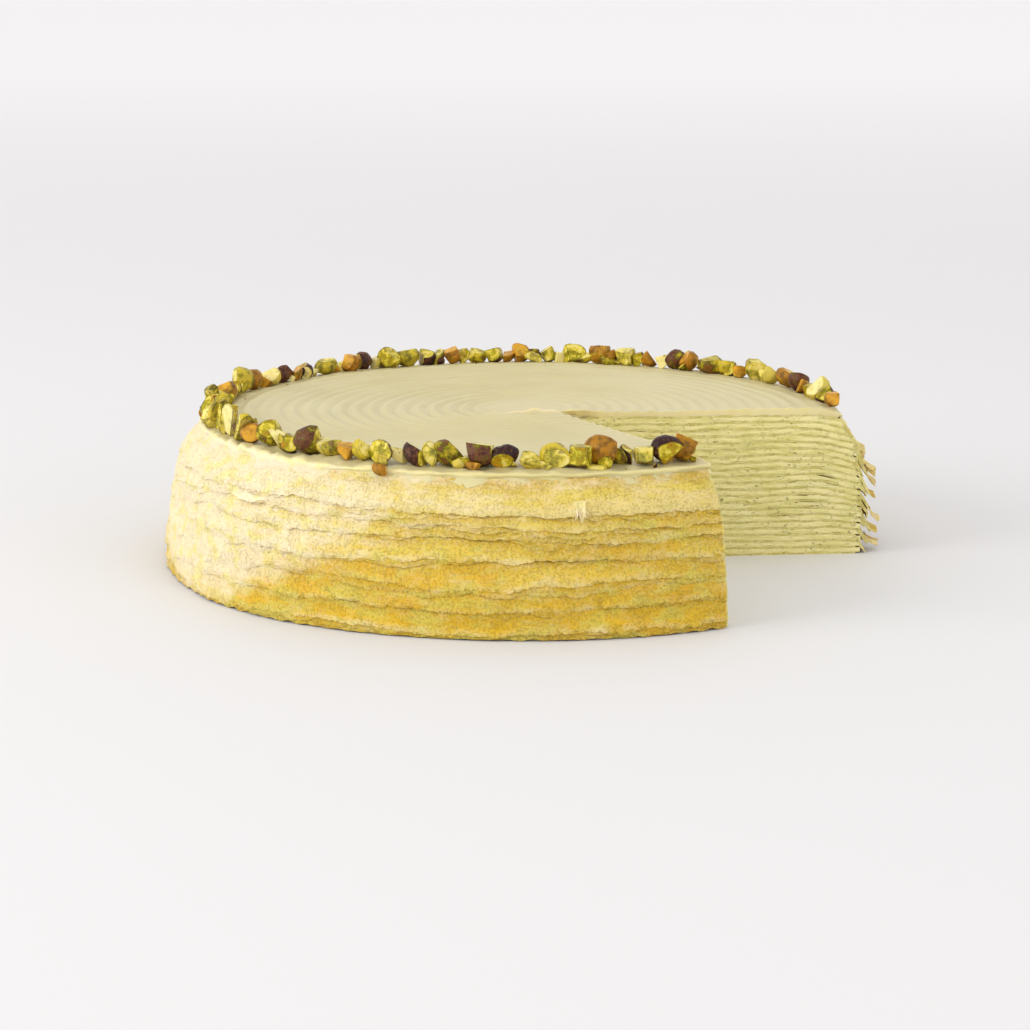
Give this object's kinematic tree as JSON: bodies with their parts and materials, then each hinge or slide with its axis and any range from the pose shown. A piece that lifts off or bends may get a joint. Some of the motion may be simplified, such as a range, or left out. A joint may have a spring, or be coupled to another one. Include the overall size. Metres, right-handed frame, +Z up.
{
  "type": "crepe cake",
  "caption": "Round layered crepe cake with thin cream fillings, hanging crepe rims, a smooth cream top, a ring of nuts and one wedge cut out.",
  "frame": {"origin": "centre of the cake's round base, on the surface it stands on", "axes": "+Z up through the layers; the cut opens towards +X and -Y, so the view from -Y shows it on the right"},
  "size_m": [0.2293, 0.23, 0.0542],
  "materials": {
    "crepe": "soft matt crepe, pale yellow to golden, fine pores",
    "cream": "soft satin pistachio cream filling",
    "top_cream": "satin spread pistachio cream with fine round ripples",
    "nut": "waxy green and purple-brown pistachio kernels"
  },
  "bodies": {
    "root": {"crepe_01": "crepe", "cream_01": "cream", "crepe_02": "crepe", "cream_02": "cream", "crepe_03": "crepe", "cream_03": "cream", "crepe_04": "crepe", "cream_04": "cream", "crepe_05": "crepe", "cream_05": "cream", "crepe_06": "crepe", "cream_06": "cream", "crepe_07": "crepe", "cream_07": "cream", "crepe_08": "crepe", "cream_08": "cream", "crepe_09": "crepe", "cream_09": "cream", "crepe_10": "crepe", "cream_10": "cream", "crepe_11": "crepe", "cream_11": "cream", "crepe_12": "crepe", "cream_12": "cream", "crepe_13": "crepe", "cream_13": "cream", "crepe_14": "crepe", "cream_14": "cream", "crepe_15": "crepe", "cream_15": "cream", "crepe_16": "crepe", "cream_16": "cream", "crepe_17": "crepe", "cream_17": "cream", "crepe_18": "crepe", "cream_18": "cream", "crepe_19": "crepe", "cream_19": "cream", "crepe_20": "crepe", "cream_20": "cream", "crepe_21": "crepe", "cream_21": "cream", "crepe_22": "crepe", "cream_22": "top_cream", "nut_ring": "nut"}
  },
  "joints": []
}
